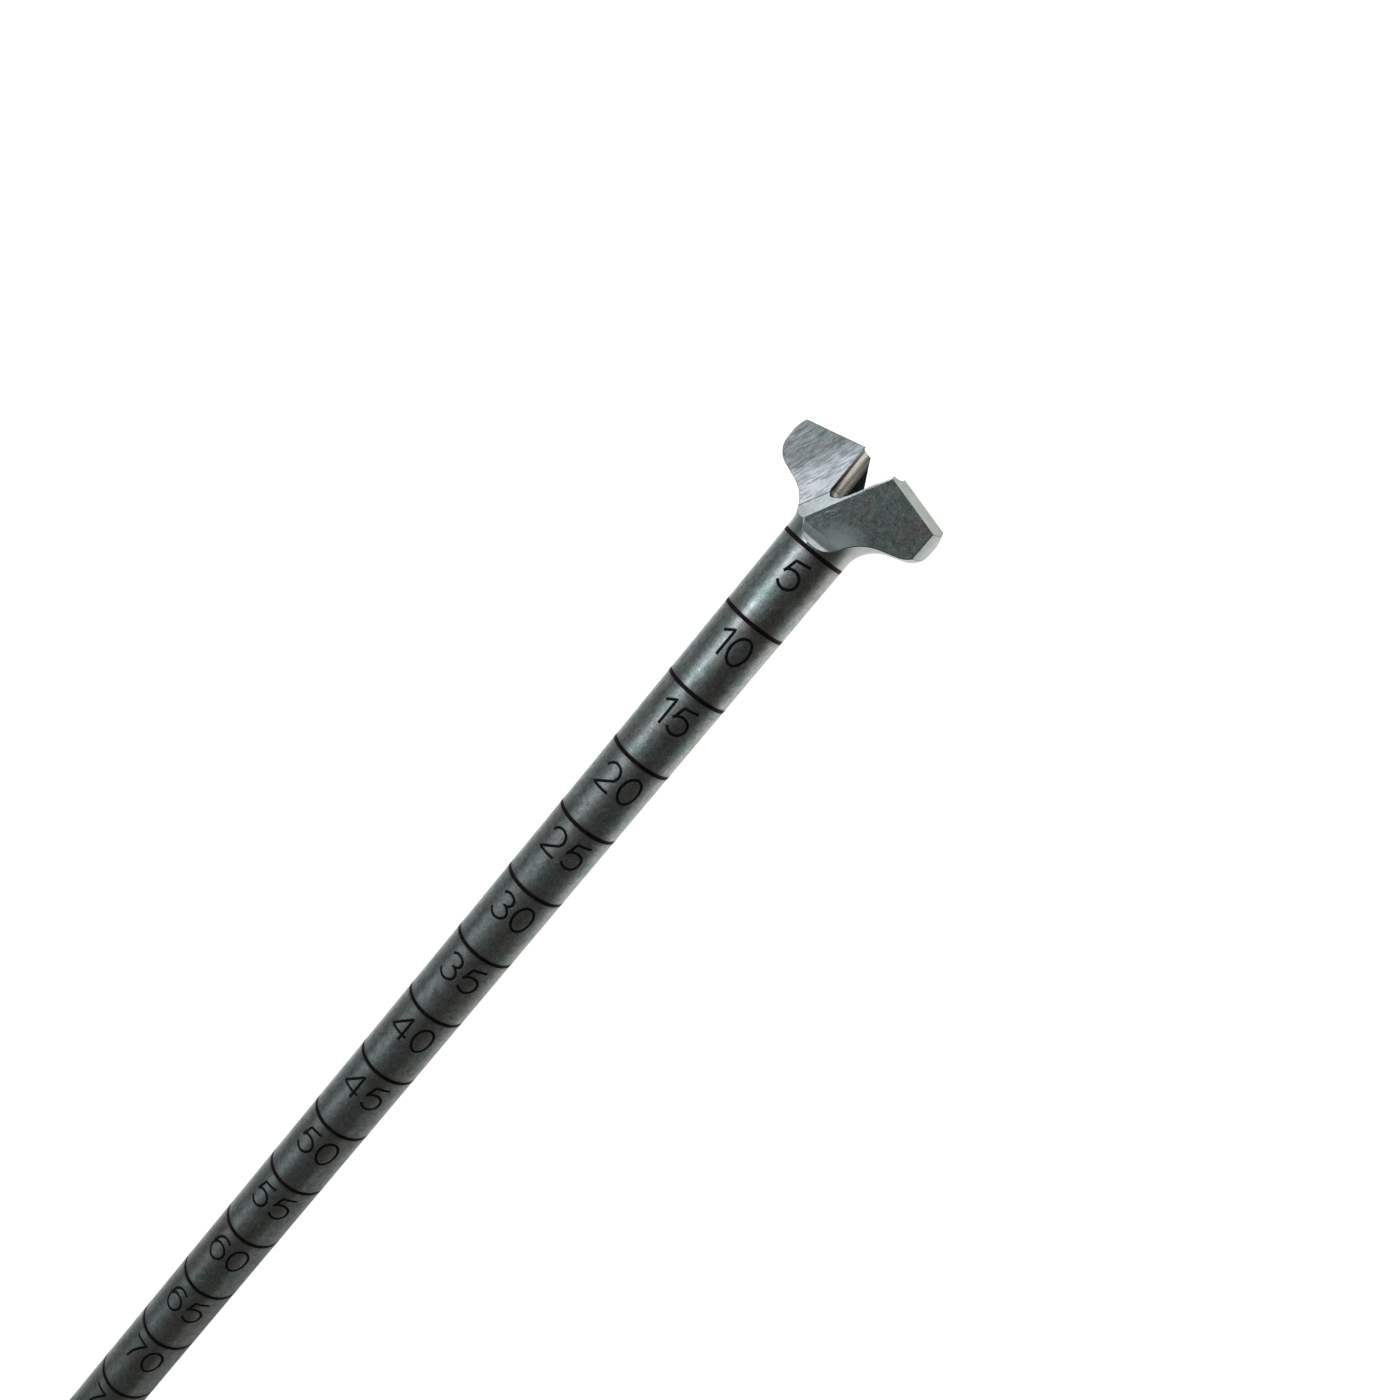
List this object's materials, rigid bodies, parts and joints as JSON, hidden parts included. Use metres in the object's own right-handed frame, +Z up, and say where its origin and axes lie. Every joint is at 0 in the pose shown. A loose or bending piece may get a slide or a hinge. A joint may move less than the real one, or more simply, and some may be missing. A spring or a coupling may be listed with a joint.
{
  "type": "cannulated headed reamer",
  "caption": "Slim cannulated steel reamer with a two-winged cutting head, a millimetre depth scale on its shaft and a flatted chuck shank.",
  "frame": {"origin": "middle of the bounding box in X and Y, at the height of the surface the tool lies on", "axes": "+X along the tool towards its cutting head, +Y towards the wing whose cutting face looks up, +Z up"},
  "size_m": [0.216, 0.0098, 0.0061],
  "materials": {
    "cutter_head": "milled and tumbled stainless steel",
    "graduated_shaft": "satin ground stainless steel with black laser marks",
    "drive_shank": "satin turned stainless steel"
  },
  "bodies": {
    "root": {"cutter_head": "cutter_head", "graduated_shaft": "graduated_shaft", "drive_shank": "drive_shank"}
  },
  "joints": []
}
